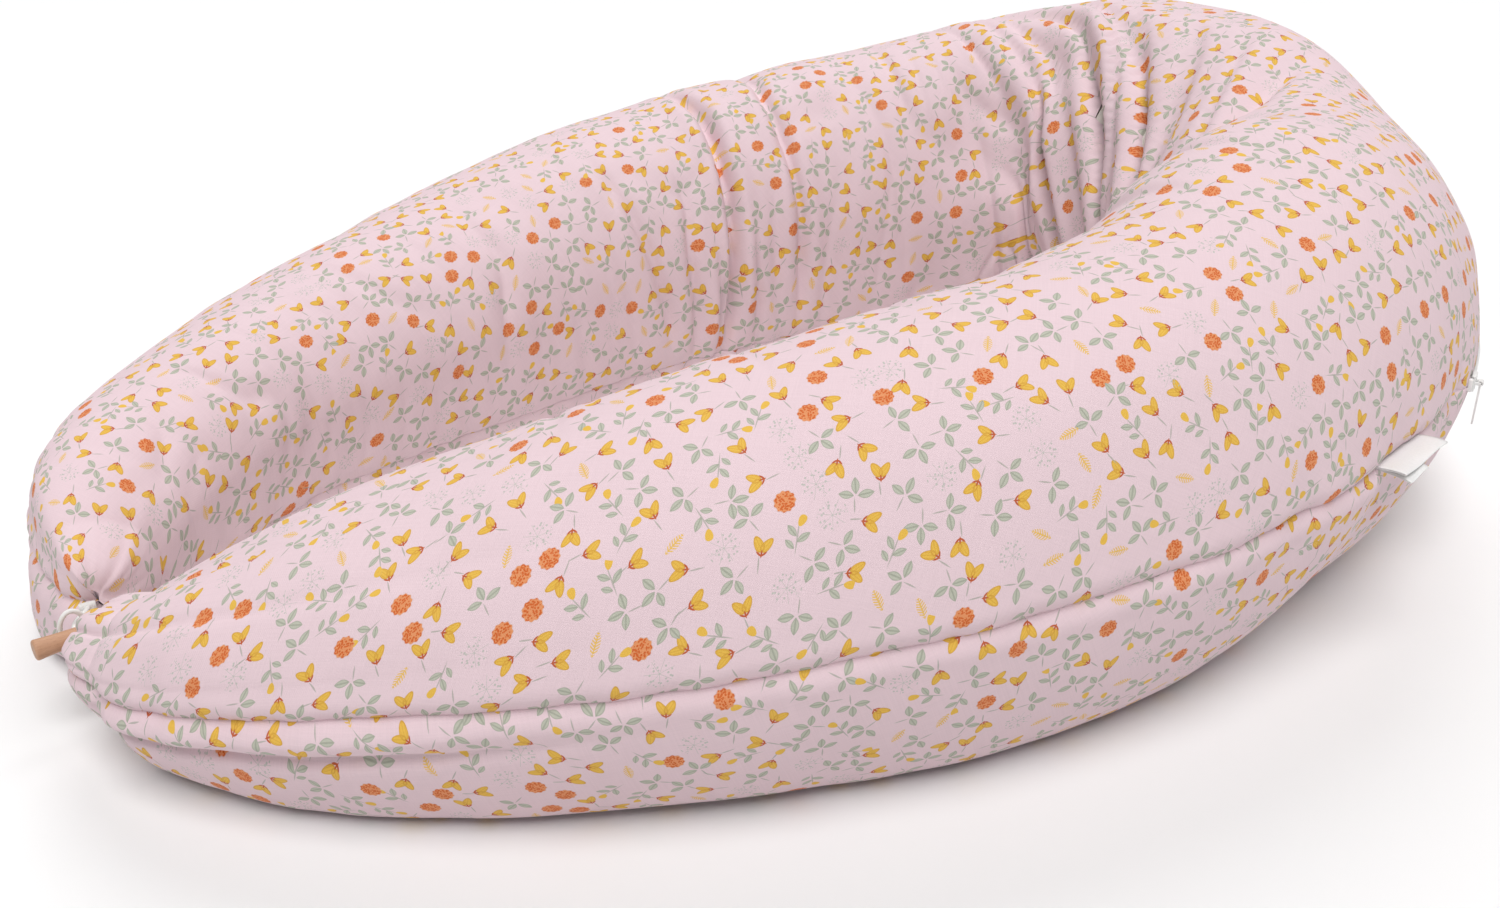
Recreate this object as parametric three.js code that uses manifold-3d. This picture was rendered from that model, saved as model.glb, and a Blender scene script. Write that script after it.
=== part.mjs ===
// A long crescent nursing pillow curled into a closed ring: a thick crown at +X and two tapering
// arms that meet at -X, where a wooden toggle on a cord is buttoned through a cord loop.
// Printed cover of an upper and a lower panel with a zip round the crown, plain inner case, fibre fill.
// Units are millimetres, +Z up, the ring lies on the plane z = 0.
import * as THREE from 'three';
import { mergeVertices } from 'three/addons/utils/BufferGeometryUtils.js';
import Module from 'manifold-3d';

const wasm = await Module();
wasm.setup();

// Ring, plan view: the crown is an arc about CROWN, each arm a cubic curve from it to its tip
const CROWN = { x: 91.4, y: 50.7, radius: 285 };
const FRONT_ARM = {
  sweep: 1.27, tip: [-446.6, 4.7], heading: 2.06, leave: 305, arrive: 80, taperStart: 3, taperEnd: 0.6,
};
const BACK_ARM = {
  sweep: 0, tip: [-449.6, 104.7], heading: -1.75, leave: 275, arrive: 230, taperStart: 2.15, taperEnd: 0.56,
};

// Section of the stuffed tube
const FULL_HALF_WIDTH = 112;
const TIP_HALF_WIDTH = 32;
// Height over the seam and depth under it, as shares of the half width
const CROWN_RISE = 1.25;
const ARM_RISE = 0.8;
const DROP_SHARE = 1.29;
const SEAM_HEIGHT = 119;
const TIP_SEAM_DROP = 67; // how much lower the outer seam runs at the tips than round the crown
const INNER_SEAM_ROLL = 0.6; // how far the inner seam has rolled down round the section, radians
const NOSE_LENGTH = 32; // rounded end of each arm

// Layers, outside to inside
const COVER_THICKNESS = 1.2;
const CASE_THICKNESS = 1.2;
const LAYER_GAP = 0.5;
const FILL_GAP = 3;
const SEAM_GAP = 0.3;

// Stations along the ring and facets across each panel
const CROWN_STEPS = 10;
const ARM_STEPS = 11;
const STEP_EASE = 1.4; // stations lie closer together towards the tips
const NOSE_STEPS = 3;
const PANEL_FACETS = 8;

// Sewn seam ridge
const SEAM_RADIUS = 1.5;
const SEAM_SIDES = 5;
const TOUCH_GAP = 0.3;
const INNER_SEAM_GAP = 1; // wider, because the inner edge is creased at the ring's tight corner

// Zip in the outer seam, angles about the crown centre; heights are over and under the seam line
const ZIP = { start: -1.24, end: -0.04, steps: 28 };
const TAPE = { thickness: 0.6, from: 3.2, to: 13 };
const COIL = { thickness: 1.5, from: 0.6, to: 2.8 };
const STOP = { length: 3, from: 0.5, thickness: 2.4, half: 4 };
const SLIDER = { length: 9, plate: 1.2, flange: 1, half: 4.8, clearance: 0.5 };
const BAIL = { height: 2.6, bar: 1.1, length: 6.6, width: 1.6 };
const PULL = { length: 26, width: 3.4, thickness: 1, barrel: 1.8, eye: 1.05 };

// Labels in the outer seam in front of the zip
const BRAND_LABEL = {
  share: 0.1, width: 52, depth: 18, thickness: 1.6, droop: 1, out: 4.6, height: 0.5,
};
const CARE_LABEL = {
  share: 0.115, width: 24, depth: 30, thickness: 1, droop: 1.4, out: 4.2, height: -2.4,
};

// Toggle closure at the tips
const TOGGLE = { length: 45, end: 5.6, waist: 4.7, bore: 1.9, boreDepth: 5, edge: 1, sides: 14 };
const CORD = { radius: 1.3, sides: 8 };
const TACK = { width: 9, thickness: 4, height: 5 };
const TOGGLE_PLACE = [-467.6, 47.7, 50];

// The neck runs from the toggle's bore to the tack on the back tip
const NECK_ROUTE = [
  [-467.6, 47.9, 50], [-467.6, 56.7, 50], [-466.1, 60.7, 50.3], [-459.1, 63.2, 51.5],
  [-456.3, 68.2, 52],
];

// The loop leaves the front tip's tack, passes under the toggle, rises behind it and goes over the neck
const LOOP_ROUTE = [
  [-460.4, 36.2, 49], [-460.5, 36.7, 44.5], [-461.1, 41.7, 39.5], [-461.6, 48.7, 39],
  [-461.3, 54.2, 41.5], [-461, 56.7, 47], [-461.6, 56.7, 54], [-464.1, 56.7, 58.6],
  [-467.6, 56.7, 60.2], [-471.1, 56.7, 58.6], [-473.6, 56.7, 54], [-474.2, 56.7, 47],
  [-473.9, 54.2, 41.5], [-473.6, 48.7, 39], [-471.6, 42.2, 39], [-466, 35.3, 43.5],
  [-465, 33.8, 49],
];

const COLOUR = {
  cover: 0xe9d4dd,
  seam: 0xe3c9d6,
  plain: 0xf3f1ec,
  fill: 0xfafafa,
  white: 0xf4f3f1,
  wood: 0xd9b48f,
};
const ROUGH = { cloth: 0.9, cord: 0.85, wood: 0.6, plastic: 0.45 };

const pillow = new THREE.Group();

function add(name, geometry, colour, roughness) {
  const material = new THREE.MeshStandardMaterial({ color: colour, roughness, metalness: 0 });
  const mesh = new THREE.Mesh(geometry, material);
  mesh.name = name;
  pillow.add(mesh);
  return mesh;
}

// ---- Centreline ----

// A station has a place, the outward direction, the half width, its share of the way from the
// crown to the tip and, on the rounded noses, how far along the nose it is and how slim it is there.
function station(place, travel, half, share, nose = null) {
  const rise = ARM_RISE + (CROWN_RISE - ARM_RISE) * (1 - share) ** 2;
  const seam = SEAM_HEIGHT - TIP_SEAM_DROP * share ** 2;
  return { place, out: new THREE.Vector2(travel.y, -travel.x), half, rise, seam, nose };
}

function crownPoint(angle, radius = CROWN.radius) {
  return new THREE.Vector2(CROWN.x + radius * Math.cos(angle), CROWN.y + radius * Math.sin(angle));
}

// Side is -1 for the front arm and +1 for the back arm.
function armCurve(arm, side) {
  const join = crownPoint(side * arm.sweep);
  const leaving = new THREE.Vector2(-Math.sin(arm.sweep), side * Math.cos(arm.sweep));
  const tip = new THREE.Vector2(...arm.tip);
  const heading = new THREE.Vector2(Math.cos(arm.heading), Math.sin(arm.heading));
  return new THREE.CubicBezierCurve(
    join,
    join.clone().addScaledVector(leaving, arm.leave),
    tip.clone().addScaledVector(heading, -arm.arrive),
    tip,
  );
}

function taperedHalf(arm, share) {
  const full = (1 - share ** arm.taperStart) ** arm.taperEnd;
  return TIP_HALF_WIDTH + (FULL_HALF_WIDTH - TIP_HALF_WIDTH) * full;
}

function armStations(arm, side) {
  const curve = armCurve(arm, side);
  const stations = [];
  for (let i = 1; i <= ARM_STEPS; i += 1) {
    const share = 1 - (1 - i / ARM_STEPS) ** STEP_EASE;
    const travel = curve.getTangentAt(share).multiplyScalar(side);
    stations.push(station(curve.getPointAt(share), travel, taperedHalf(arm, share), share));
  }
  const tip = stations[ARM_STEPS - 1];
  const ahead = curve.getTangentAt(1);
  for (let i = 1; i <= NOSE_STEPS; i += 1) {
    const turn = (i / NOSE_STEPS) * (Math.PI / 2);
    const slim = i === NOSE_STEPS ? 0 : Math.cos(turn);
    const nose = { ahead, reach: Math.sin(turn), slim };
    const travel = ahead.clone().multiplyScalar(side);
    stations.push(station(tip.place, travel, TIP_HALF_WIDTH, 1, nose));
  }
  return stations;
}

function crownStations() {
  const sweep = FRONT_ARM.sweep + BACK_ARM.sweep;
  const stations = [];
  for (let i = 0; i <= CROWN_STEPS; i += 1) {
    const angle = (sweep * i) / CROWN_STEPS - FRONT_ARM.sweep;
    const travel = new THREE.Vector2(-Math.sin(angle), Math.cos(angle));
    stations.push(station(crownPoint(angle), travel, FULL_HALF_WIDTH, 0));
  }
  return stations;
}

const RING = [
  ...armStations(FRONT_ARM, -1).reverse(),
  ...crownStations(),
  ...armStations(BACK_ARM, 1),
];

// A point of the tube's skin, moved inwards by inset. Turn 0 is the outer seam, and the lower
// panel has negative turns. Nothing goes lower than inset over the floor.
function skinPoint(at, turn, inset, lift = 0) {
  const slim = at.nose ? at.nose.slim : 1;
  const across = (at.half - inset) * slim * Math.cos(turn);
  const share = Math.sin(turn) < 0 ? DROP_SHARE : at.rise;
  const height = (at.half * share - inset) * slim * Math.sin(turn);
  const centre = at.place.clone();
  if (at.nose) centre.addScaledVector(at.nose.ahead, (NOSE_LENGTH - inset) * at.nose.reach);
  return new THREE.Vector3(
    centre.x + at.out.x * across,
    centre.y + at.out.y * across,
    Math.max(at.seam + height + lift, inset),
  );
}

// ---- Solids from points ----

function triangle(list, a, b, c) {
  const thin = 1e-4;
  if (a.distanceTo(b) < thin || b.distanceTo(c) < thin || c.distanceTo(a) < thin) return;
  list.push(a, b, c);
}

function quad(list, a, b, c, d) {
  triangle(list, a, b, c);
  triangle(list, a, c, d);
}

function volumeOf(points) {
  let six = 0;
  for (let i = 0; i < points.length; i += 3) {
    six += points[i].dot(points[i + 1].clone().cross(points[i + 2]));
  }
  return six / 6;
}

// A geometry with its faces turned outwards
function closedSolid(points) {
  if (volumeOf(points) < 0) points.reverse();
  return mergeVertices(new THREE.BufferGeometry().setFromPoints(points), 1e-3);
}

// A shell between two grids of points of the same size, closed by a rim along both long borders
function shellSolid(outer, inner) {
  const points = [];
  const columns = outer[0].length - 1;
  for (let i = 0; i + 1 < outer.length; i += 1) {
    for (let j = 0; j < columns; j += 1) {
      quad(points, outer[i][j], outer[i + 1][j], outer[i + 1][j + 1], outer[i][j + 1]);
      quad(points, inner[i][j], inner[i][j + 1], inner[i + 1][j + 1], inner[i + 1][j]);
    }
    quad(points, outer[i][0], inner[i][0], inner[i + 1][0], outer[i + 1][0]);
    quad(points, outer[i][columns], outer[i + 1][columns], inner[i + 1][columns], inner[i][columns]);
  }
  return closedSolid(points);
}

// A solid through closed rings of points, with flat ends
function loftSolid(rings) {
  const points = [];
  const sides = rings[0].length;
  for (let i = 0; i + 1 < rings.length; i += 1) {
    for (let j = 0; j < sides; j += 1) {
      const next = (j + 1) % sides;
      quad(points, rings[i][j], rings[i + 1][j], rings[i + 1][next], rings[i][next]);
    }
  }
  const last = rings[rings.length - 1];
  for (let j = 1; j + 1 < sides; j += 1) {
    triangle(points, rings[0][0], rings[0][j], rings[0][j + 1]);
    triangle(points, last[0], last[j + 1], last[j]);
  }
  return closedSolid(points);
}

// ---- Panels and filling ----

// Side is 1 for an upper panel and -1 for a lower one; both start at the outer seam.
function panelTurns(side) {
  const span = side > 0 ? Math.PI + INNER_SEAM_ROLL : Math.PI - INNER_SEAM_ROLL;
  return Array.from({ length: PANEL_FACETS + 1 }, (_, j) => (side * span * j) / PANEL_FACETS);
}

function panel(side, inset, thickness) {
  const turns = panelTurns(side);
  const lift = (side * SEAM_GAP) / 2;
  const skin = (depth) => RING.map((at) => turns.map((turn) => skinPoint(at, turn, depth, lift)));
  return shellSolid(skin(inset), skin(inset + thickness));
}

const CASE_INSET = COVER_THICKNESS + LAYER_GAP;
const FILL_INSET = CASE_INSET + CASE_THICKNESS + FILL_GAP;

function filling() {
  const turns = [...panelTurns(1), ...panelTurns(-1).slice(1, -1).reverse()];
  const stations = RING.slice(1, -1);
  return loftSolid(stations.map((at) => turns.map((turn) => skinPoint(at, turn, FILL_INSET))));
}

add('cover_upper_panel', panel(1, 0, COVER_THICKNESS), COLOUR.cover, ROUGH.cloth);
add('cover_lower_panel', panel(-1, 0, COVER_THICKNESS), COLOUR.cover, ROUGH.cloth);
add('inner_case_upper', panel(1, CASE_INSET, CASE_THICKNESS), COLOUR.plain, ROUGH.cloth);
add('inner_case_lower', panel(-1, CASE_INSET, CASE_THICKNESS), COLOUR.plain, ROUGH.cloth);
add('fibre_fill', filling(), COLOUR.fill, ROUGH.cloth);

// ---- Seams ----

// A round ridge along a line of points, square to the line at each of them
function ridge(points) {
  const rings = points.map((point, i) => {
    const before = points[Math.max(i - 1, 0)];
    const after = points[Math.min(i + 1, points.length - 1)];
    const along = after.clone().sub(before).normalize();
    const side = new THREE.Vector3(along.y, -along.x, 0).normalize();
    const up = side.clone().cross(along).normalize();
    return Array.from({ length: SEAM_SIDES }, (_, j) => {
      const turn = (2 * Math.PI * j) / SEAM_SIDES;
      return point
        .clone()
        .addScaledVector(side, SEAM_RADIUS * Math.cos(turn))
        .addScaledVector(up, SEAM_RADIUS * Math.sin(turn));
    });
  });
  return loftSolid(rings);
}

const SEAM_OFFSET = SEAM_RADIUS + TOUCH_GAP;

function outerSeamPoint(at) {
  return skinPoint(at, 0, -SEAM_OFFSET);
}

function innerSeamPoint(at) {
  return skinPoint(at, Math.PI + INNER_SEAM_ROLL, -SEAM_RADIUS - INNER_SEAM_GAP);
}

function stationAngle(at) {
  return Math.atan2(at.place.y - CROWN.y, at.place.x - CROWN.x);
}

const zipMargin = 0.02;
const crownRow = RING.slice(NOSE_STEPS + ARM_STEPS, NOSE_STEPS + ARM_STEPS + CROWN_STEPS + 1);
const beforeZip = crownRow.filter((at) => stationAngle(at) < ZIP.start - zipMargin);
const afterZip = crownRow.filter((at) => stationAngle(at) > ZIP.end + zipMargin);
const frontRow = [...RING.slice(1, NOSE_STEPS + ARM_STEPS), ...beforeZip];
const backRow = [...afterZip, ...RING.slice(NOSE_STEPS + ARM_STEPS + CROWN_STEPS + 1, -1)];
add('outer_seam_front', ridge(frontRow.map(outerSeamPoint)), COLOUR.seam, ROUGH.cloth);
add('outer_seam_back', ridge(backRow.map(outerSeamPoint)), COLOUR.seam, ROUGH.cloth);
add('inner_seam', ridge(RING.slice(2, -2).map(innerSeamPoint)), COLOUR.seam, ROUGH.cloth);

// ---- Zip ----

const ZIP_RADIUS = CROWN.radius + FULL_HALF_WIDTH + TOUCH_GAP;

// A strip along the zip: from and to are heights from the seam line, side 1 above it and -1 below.
function zipStrip(side, { thickness, from, to }, start, end, steps) {
  const rings = [];
  for (let i = 0; i <= steps; i += 1) {
    const angle = start + ((end - start) * i) / steps;
    const near = crownPoint(angle, ZIP_RADIUS);
    const far = crownPoint(angle, ZIP_RADIUS + thickness);
    const low = SEAM_HEIGHT + side * from;
    const high = SEAM_HEIGHT + side * to;
    rings.push([
      new THREE.Vector3(near.x, near.y, low),
      new THREE.Vector3(far.x, far.y, low),
      new THREE.Vector3(far.x, far.y, high),
      new THREE.Vector3(near.x, near.y, high),
    ]);
  }
  return loftSolid(rings);
}

for (const [word, side] of [['upper', 1], ['lower', -1]]) {
  const tape = zipStrip(side, TAPE, ZIP.start, ZIP.end, ZIP.steps);
  add(`zip_tape_${word}`, tape, COLOUR.white, ROUGH.cloth);
  const coil = zipStrip(side, COIL, ZIP.start, ZIP.end, ZIP.steps);
  add(`zip_coil_${word}`, coil, COLOUR.white, ROUGH.plastic);
}

const stopTurn = STOP.length / ZIP_RADIUS;
const stopGap = TOUCH_GAP / ZIP_RADIUS;
const stopStrip = { thickness: STOP.thickness, from: -STOP.half, to: STOP.half };
for (const [word, edge, way] of [['start', ZIP.start, -1], ['end', ZIP.end, 1]]) {
  const near = edge + way * stopGap;
  const stop = zipStrip(1, stopStrip, near, near + way * stopTurn, 1);
  add(`zip_stop_${word}`, stop, COLOUR.white, ROUGH.plastic);
}

// ---- Booleans ----

function manifoldOf(geometry) {
  const bare = geometry.clone();
  bare.deleteAttribute('normal');
  bare.deleteAttribute('uv');
  const merged = mergeVertices(bare, 1e-4);
  const mesh = new wasm.Mesh({
    numProp: 3,
    vertProperties: new Float32Array(merged.attributes.position.array),
    triVerts: new Uint32Array(merged.index.array),
  });
  return new wasm.Manifold(mesh);
}

function geometryOf(solid) {
  const mesh = solid.getMesh();
  const geometry = new THREE.BufferGeometry();
  geometry.setAttribute('position', new THREE.BufferAttribute(mesh.vertProperties, 3));
  geometry.setIndex(new THREE.BufferAttribute(mesh.triVerts, 1));
  return geometry;
}

function union(geometries) {
  return geometryOf(geometries.map(manifoldOf).reduce((sum, solid) => sum.add(solid)));
}

// ---- Slider and pull: x along the seam, y outwards, z up, about the zip line ----

const SLIDER_TURN = (SLIDER.length / 2 + TOUCH_GAP) / ZIP_RADIUS;
const sliderAngle = ZIP.start + SLIDER_TURN;
const carriage = new THREE.Group();
const carriagePlace = crownPoint(sliderAngle, ZIP_RADIUS);
carriage.position.set(carriagePlace.x, carriagePlace.y, SEAM_HEIGHT);
carriage.rotation.z = sliderAngle - Math.PI / 2;
pillow.add(carriage);

const plateIn = COIL.thickness + SLIDER.clearance;
const plateOut = plateIn + SLIDER.plate;
const barOut = plateOut + BAIL.height;

function boxAt(width, depth, height, x, y, z) {
  return new THREE.BoxGeometry(width, depth, height).translate(x, y, z);
}

function sliderGeometry() {
  const hookIn = TAPE.thickness + SLIDER.clearance;
  const hook = plateOut - hookIn;
  const edge = SLIDER.half - SLIDER.flange / 2;
  const leg = BAIL.height + BAIL.bar / 2;
  const legX = (BAIL.length - BAIL.bar) / 2;
  const overlap = 0.2;
  const parts = [
    boxAt(SLIDER.length, SLIDER.plate, 2 * SLIDER.half, 0, plateIn + SLIDER.plate / 2, 0),
    boxAt(BAIL.length, BAIL.bar, BAIL.bar, 0, barOut, 0),
  ];
  for (const side of [-1, 1]) {
    parts.push(boxAt(SLIDER.length, hook, SLIDER.flange, 0, hookIn + hook / 2, side * edge));
    parts.push(
      boxAt(BAIL.bar, leg + overlap, BAIL.width, side * legX, plateOut + (leg - overlap) / 2, 0),
    );
  }
  return union(parts);
}

// A barrel round the bail's bar with a flat tab hanging from it
function pullGeometry() {
  const outline = new THREE.Shape();
  const half = PULL.thickness / 2;
  const neck = Math.sqrt(PULL.barrel ** 2 - half ** 2);
  const from = Math.atan2(-neck, half);
  outline.moveTo(-half, -PULL.length);
  outline.lineTo(half, -PULL.length);
  outline.lineTo(half, -neck);
  outline.absarc(0, 0, PULL.barrel, from, Math.PI * 2 + Math.atan2(-neck, -half), false);
  outline.closePath();
  const eye = new THREE.Path();
  eye.absarc(0, 0, PULL.eye, 0, Math.PI * 2, true);
  outline.holes.push(eye);
  const settings = { depth: PULL.width, bevelEnabled: false, curveSegments: 8 };
  const geometry = new THREE.ExtrudeGeometry(outline, settings);
  // The outline's x is outwards and its y up; the extrusion runs along the seam.
  return geometry.translate(0, 0, -PULL.width / 2).applyMatrix4(
    new THREE.Matrix4().makeBasis(
      new THREE.Vector3(0, 1, 0),
      new THREE.Vector3(0, 0, 1),
      new THREE.Vector3(1, 0, 0),
    ),
  );
}

function addTo(group, name, geometry, colour, roughness) {
  group.add(add(name, geometry, colour, roughness));
}

addTo(carriage, 'zip_slider', sliderGeometry(), COLOUR.white, ROUGH.plastic);
const pull = pullGeometry().translate(0, barOut, 0);
addTo(carriage, 'zip_pull_tab', pull, COLOUR.white, ROUGH.plastic);

// ---- Labels ----

// A flat label hanging from the front arm's outer seam, x along the seam and y outwards
function addLabel(name, label) {
  const slab = new THREE.BoxGeometry(label.width, label.depth, label.thickness);
  slab.translate(0, label.depth / 2, 0);
  slab.rotateX(-label.droop);
  slab.translate(0, label.out, label.height);
  const curve = armCurve(FRONT_ARM, -1);
  const travel = curve.getTangentAt(label.share).negate();
  const at = station(
    curve.getPointAt(label.share), travel, taperedHalf(FRONT_ARM, label.share), label.share,
  );
  const holder = new THREE.Group();
  holder.position.copy(skinPoint(at, 0, 0));
  holder.rotation.z = Math.atan2(at.out.y, at.out.x) - Math.PI / 2;
  pillow.add(holder);
  addTo(holder, name, slab, COLOUR.white, ROUGH.cloth);
}

addLabel('brand_label', BRAND_LABEL);
addLabel('care_label', CARE_LABEL);

// ---- Toggle closure ----

function tipOf(at) {
  return { place: skinPoint(at, 0, 0), ahead: new THREE.Vector3(at.nose.ahead.x, at.nose.ahead.y, 0) };
}

const frontTip = tipOf(RING[0]);
const backTip = tipOf(RING[RING.length - 1]);

// A stitched tack holding a cord's ends on the point of a tip
function addTack(name, tip) {
  const holder = new THREE.Group();
  holder.position.copy(tip.place).addScaledVector(tip.ahead, TOUCH_GAP + TACK.thickness / 2);
  holder.rotation.z = Math.atan2(tip.ahead.y, tip.ahead.x) - Math.PI / 2;
  pillow.add(holder);
  const block = new THREE.BoxGeometry(TACK.width, TACK.thickness, TACK.height);
  addTo(holder, name, block, COLOUR.white, ROUGH.cord);
}

// A cord through a list of points
function cordGeometry(points, steps) {
  const section = new THREE.Shape();
  section.absarc(0, 0, CORD.radius, 0, Math.PI * 2, false);
  const path = new THREE.CatmullRomCurve3(points.map((point) => new THREE.Vector3(...point)));
  const settings = { steps, bevelEnabled: false, curveSegments: CORD.sides / 2, extrudePath: path };
  return new THREE.ExtrudeGeometry(section, settings);
}

// A turned bar along x, thinner in the middle, with a blind bore for the cord in its back
function toggleGeometry() {
  const half = TOGGLE.length / 2;
  const profile = [new THREE.Vector2(0, -half), new THREE.Vector2(TOGGLE.end - TOGGLE.edge, -half)];
  const rows = 8;
  const straight = half - TOGGLE.edge;
  for (let i = 0; i <= rows; i += 1) {
    const along = (2 * i) / rows - 1;
    const radius = TOGGLE.waist + (TOGGLE.end - TOGGLE.waist) * along ** 2;
    profile.push(new THREE.Vector2(radius, along * straight));
  }
  profile.push(new THREE.Vector2(TOGGLE.end - TOGGLE.edge, half), new THREE.Vector2(0, half));
  const bar = new THREE.LatheGeometry(profile, TOGGLE.sides).rotateZ(-Math.PI / 2);
  const reach = 2 * TOGGLE.boreDepth;
  const bore = new THREE.CylinderGeometry(TOGGLE.bore, TOGGLE.bore, reach, TOGGLE.sides);
  bore.translate(0, TOGGLE.waist, 0);
  return geometryOf(manifoldOf(bar).subtract(manifoldOf(bore)));
}

addTack('closure_loop_tack', frontTip);
addTack('toggle_cord_tack', backTip);
add('wooden_toggle', toggleGeometry().translate(...TOGGLE_PLACE), COLOUR.wood, ROUGH.wood);
add('toggle_cord', cordGeometry(NECK_ROUTE, 10), COLOUR.white, ROUGH.cord);
add('closure_loop', cordGeometry(LOOP_ROUTE, 44), COLOUR.white, ROUGH.cord);

export default pillow;
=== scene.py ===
"""A long crescent nursing pillow, curled into a closed ring and buttoned at the tips with a wooden toggle."""
import math

import bpy
import numpy as np
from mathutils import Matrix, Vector


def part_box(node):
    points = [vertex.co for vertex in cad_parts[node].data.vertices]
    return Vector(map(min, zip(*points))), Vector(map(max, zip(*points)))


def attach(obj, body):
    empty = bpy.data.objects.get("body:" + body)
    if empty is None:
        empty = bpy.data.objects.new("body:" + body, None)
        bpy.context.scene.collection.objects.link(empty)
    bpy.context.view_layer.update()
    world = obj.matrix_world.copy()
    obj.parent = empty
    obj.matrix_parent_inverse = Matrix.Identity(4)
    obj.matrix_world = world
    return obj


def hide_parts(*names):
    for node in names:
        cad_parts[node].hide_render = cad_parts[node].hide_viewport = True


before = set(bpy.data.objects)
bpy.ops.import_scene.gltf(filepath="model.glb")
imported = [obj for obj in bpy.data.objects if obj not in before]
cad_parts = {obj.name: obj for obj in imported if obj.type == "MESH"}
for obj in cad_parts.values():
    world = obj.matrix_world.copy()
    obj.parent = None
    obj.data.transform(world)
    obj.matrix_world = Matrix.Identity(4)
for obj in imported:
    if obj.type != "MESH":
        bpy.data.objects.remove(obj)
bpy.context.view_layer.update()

TAU = 2 * math.pi

# ---- Driving dimensions, the same as the CAD's, in metres ----

CROWN = np.array([0.0914, 0.0507])
CROWN_RADIUS = 0.285
FRONT_ARM = dict(sweep=1.27, tip=(-0.4466, 0.0047), heading=2.06, leave=0.305, arrive=0.080, start=3, end=0.6)
BACK_ARM = dict(sweep=0.0, tip=(-0.4496, 0.1047), heading=-1.75, leave=0.275, arrive=0.230, start=2.15, end=0.56)
FULL_HALF, TIP_HALF = 0.112, 0.032
CROWN_RISE, ARM_RISE, DROP_SHARE = 1.25, 0.8, 1.29
SEAM_HEIGHT, TIP_SEAM_DROP = 0.119, 0.067
INNER_ROLL = 0.6
NOSE_LENGTH = 0.032
ZIP_START, ZIP_END = -1.24, -0.04
ZIP_RADIUS = CROWN_RADIUS + FULL_HALF + 0.0003
TOGGLE_PLACE = Vector((-0.4676, 0.0477, 0.050))
CORD_DIAMETER = 0.0026
UNIT = 1000.0  # the print and the weaves are drawn in millimetres
TINY = 1e-6


# ---- Camera ----

# The photo's view: from the front left, 25 degrees above the floor, turned in degrees
CAMERA_PLACE = (-0.600055, -0.683841, 0.469208)
CAMERA_TURN = (63.89965, 0.91517, -38.90407)
CAMERA_LENS = 35.61


def link(thing):
    bpy.context.scene.collection.objects.link(thing)
    return thing


def add_camera():
    data = bpy.data.cameras.new("camera")
    data.lens = CAMERA_LENS
    data.sensor_width = 36
    data.clip_end = 100
    camera = link(bpy.data.objects.new("camera", data))
    camera.location = CAMERA_PLACE
    camera.rotation_euler = [math.radians(turn) for turn in CAMERA_TURN]
    bpy.context.scene.camera = camera


add_camera()


# ---- Meshes ----

def running_length(points):
    """How far along a line of points each one lies."""
    return np.concatenate([[0], np.cumsum(np.linalg.norm(np.diff(points, axis=0), axis=1))])


def new_mesh(name, points, faces, closed=True):
    """A smooth mesh object. A closed one has its faces turned outwards."""
    points = np.asarray(points, float)
    if closed:
        corners = [np.array([face[k] for face in faces if len(face) < 5]) for k in (0, 1, 2)]
        a, b, c = (points[k] - points.mean(0) for k in corners)
        if (a * np.cross(b, c)).sum() < 0:
            faces = [face[::-1] for face in faces]
    mesh = bpy.data.meshes.new(name)
    mesh.from_pydata(points.tolist(), [], faces)
    mesh.validate()
    mesh.shade_smooth()
    mesh.update()
    return link(bpy.data.objects.new(name, mesh))


def declare(piece, body, slot, *nodes, material=None):
    """What the piece rides on, its material when one is given, and the CAD nodes that it stands for, which are
    hidden. The slot is not used.
    """
    if material:
        piece.data.materials.append(material)
    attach(piece, body)
    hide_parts(*nodes)


def grid_faces(rows, columns, close_columns=False, flip=False):
    i = np.arange(rows - 1)[:, None]
    j = np.arange(columns if close_columns else columns - 1)[None, :]
    k = (j + 1) % columns
    quads = np.stack([i * columns + j, (i + 1) * columns + j, (i + 1) * columns + k, i * columns + k], -1)
    quads = quads.reshape(-1, 4)
    return (quads[:, ::-1] if flip else quads).tolist()


ANY_WAY = (0.3, 0.2, 0.93)  # a direction that no tube starts in


def closed_tube_faces(rows, sides, flip=False):
    """A tube of rings of points, each end closed by one face."""
    count = rows * sides
    faces = grid_faces(rows, sides, close_columns=True, flip=flip)
    first, last = list(range(sides)), list(range(count - 1, count - sides - 1, -1))
    return faces + ([first[::-1], last[::-1]] if flip else [first, last])


def tube(name, line, radius, sides, texture=None):
    """A round tube along a line of points, with closed ends. Texture(i, angles) adds to the radius."""
    line = np.asarray(line, float)
    travel = np.gradient(line, axis=0)
    travel /= np.linalg.norm(travel, axis=1)[:, None]
    side = np.cross(travel[0], ANY_WAY)
    side /= np.linalg.norm(side)
    angles = TAU * np.arange(sides) / sides
    points = []
    for i, (p, t) in enumerate(zip(line, travel)):
        side = side - t * (side @ t)
        side /= np.linalg.norm(side)
        other = np.cross(t, side)
        swell = radius + (texture(i, angles) if texture else 0 * angles)
        points.append(p + np.outer(np.cos(angles) * swell, side) + np.outer(np.sin(angles) * swell, other))
    return new_mesh(name, np.concatenate(points), closed_tube_faces(len(line), sides))


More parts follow.
